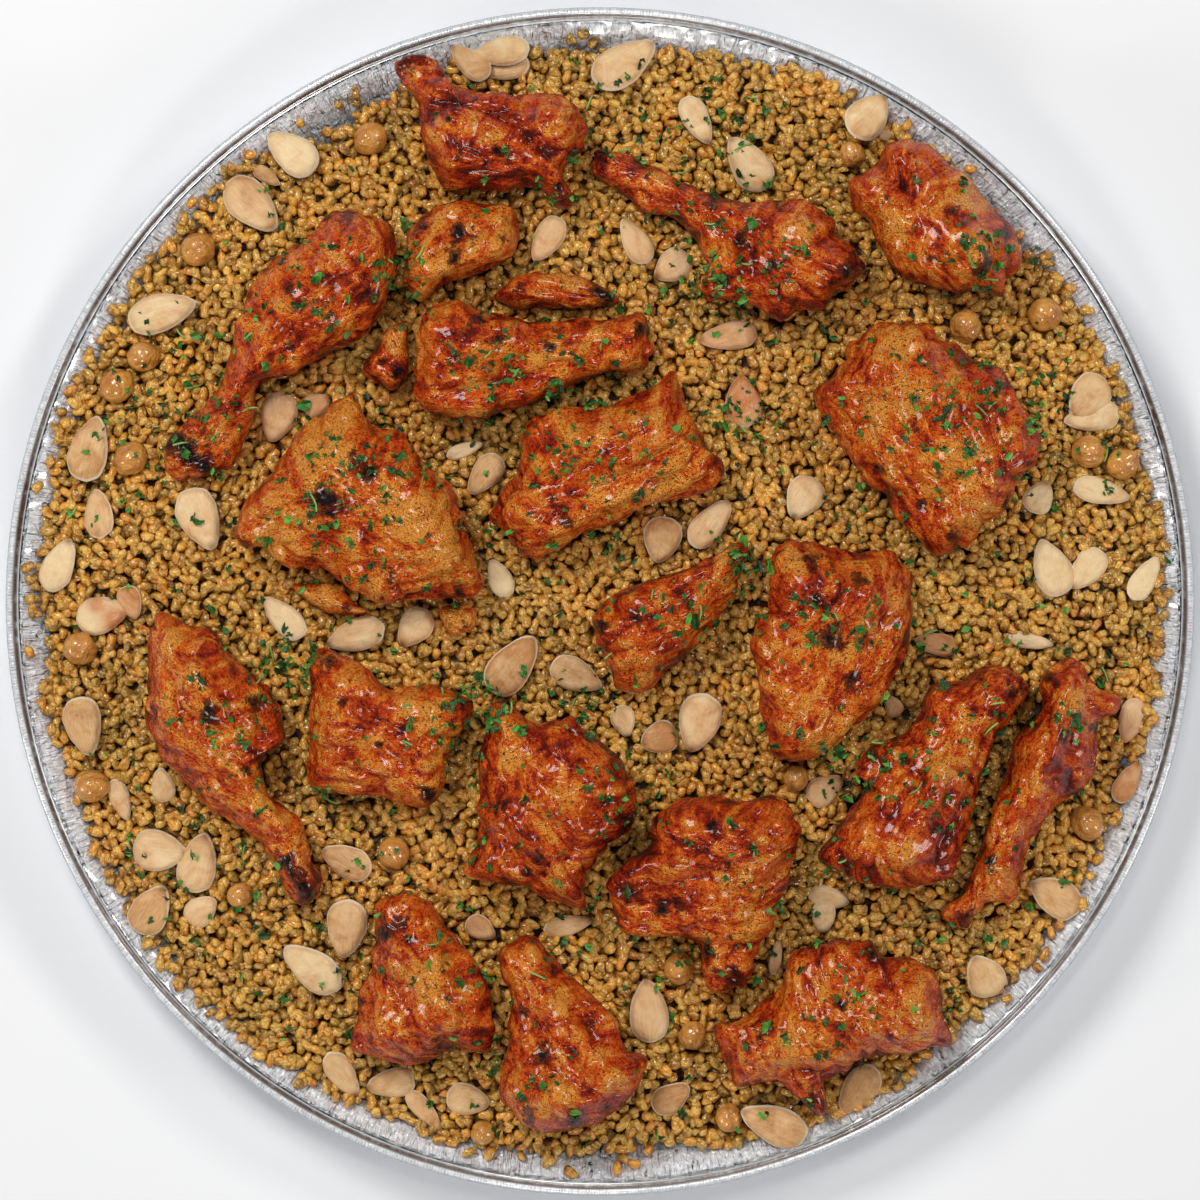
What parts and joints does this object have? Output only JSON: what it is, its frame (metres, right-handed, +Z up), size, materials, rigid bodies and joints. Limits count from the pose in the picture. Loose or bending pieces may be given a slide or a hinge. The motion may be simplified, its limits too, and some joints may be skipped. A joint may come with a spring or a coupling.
{
  "type": "plate of chicken freekeh",
  "caption": "Shallow round foil tray heaped with cooked freekeh and topped with roast chicken pieces, toasted almond halves, chickpeas and chopped parsley.",
  "frame": {"origin": "centre of the tray on the surface that it stands on", "axes": "+Z up through the heap, +Y towards the top of the picture, +X to its right"},
  "size_m": [0.4056, 0.4056, 0.068],
  "materials": {
    "foil": "satin pressed foil with a fluted rim",
    "freekeh": null,
    "roast_chicken": null,
    "almond": null
  },
  "bodies": {
    "root": {"foil_tray": "foil", "freekeh_heap": "freekeh", "chicken_leg_quarter_top": "roast_chicken", "chicken_leg_quarter_flap": "roast_chicken", "chicken_drumstick_left": "roast_chicken", "chicken_scrap_left": "roast_chicken", "chicken_thigh_upper": "roast_chicken", "chicken_dark_meat_upper": "roast_chicken", "chicken_ridged_thigh": "roast_chicken", "chicken_leg_top": "roast_chicken", "chicken_thigh_top_right": "roast_chicken", "chicken_thigh_right": "roast_chicken", "chicken_drumette": "roast_chicken", "chicken_thigh_middle": "roast_chicken", "chicken_thigh_lower_right": "roast_chicken", "chicken_drumstick_right": "roast_chicken", "chicken_leg_left": "roast_chicken", "chicken_thigh_left": "roast_chicken", "chicken_thigh_centre": "roast_chicken", "chicken_crisp_thigh": "roast_chicken", "chicken_thigh_bottom_left": "roast_chicken", "chicken_thigh_bottom": "roast_chicken", "chicken_breast_bottom_right": "roast_chicken", "chicken_breast_left": "roast_chicken", "chicken_scrap_under_breast": "roast_chicken", "chicken_scrap_below_breast": "roast_chicken", "almond_01": "almond", "almond_02": "almond", "almond_03": "almond", "almond_04": "almond", "almond_05": "almond", "almond_06": "almond", "almond_07": "almond", "almond_08": "almond", "almond_09": "almond", "almond_10": "almond", "almond_11": "almond", "almond_12": "almond", "almond_13": "almond", "almond_14": "almond", "almond_15": "almond", "almond_16": "almond", "almond_17": "almond", "almond_18": "almond", "almond_19": "almond", "almond_20": "almond", "almond_21": "almond", "almond_22": "almond", "almond_23": "almond", "almond_24": "almond", "almond_25": "almond", "almond_26": "almond", "almond_27": "almond", "almond_28": "almond", "almond_29": "almond", "almond_30": "almond", "almond_31": "almond", "almond_32": "almond", "almond_33": "almond", "almond_34": "almond"}
  },
  "joints": []
}
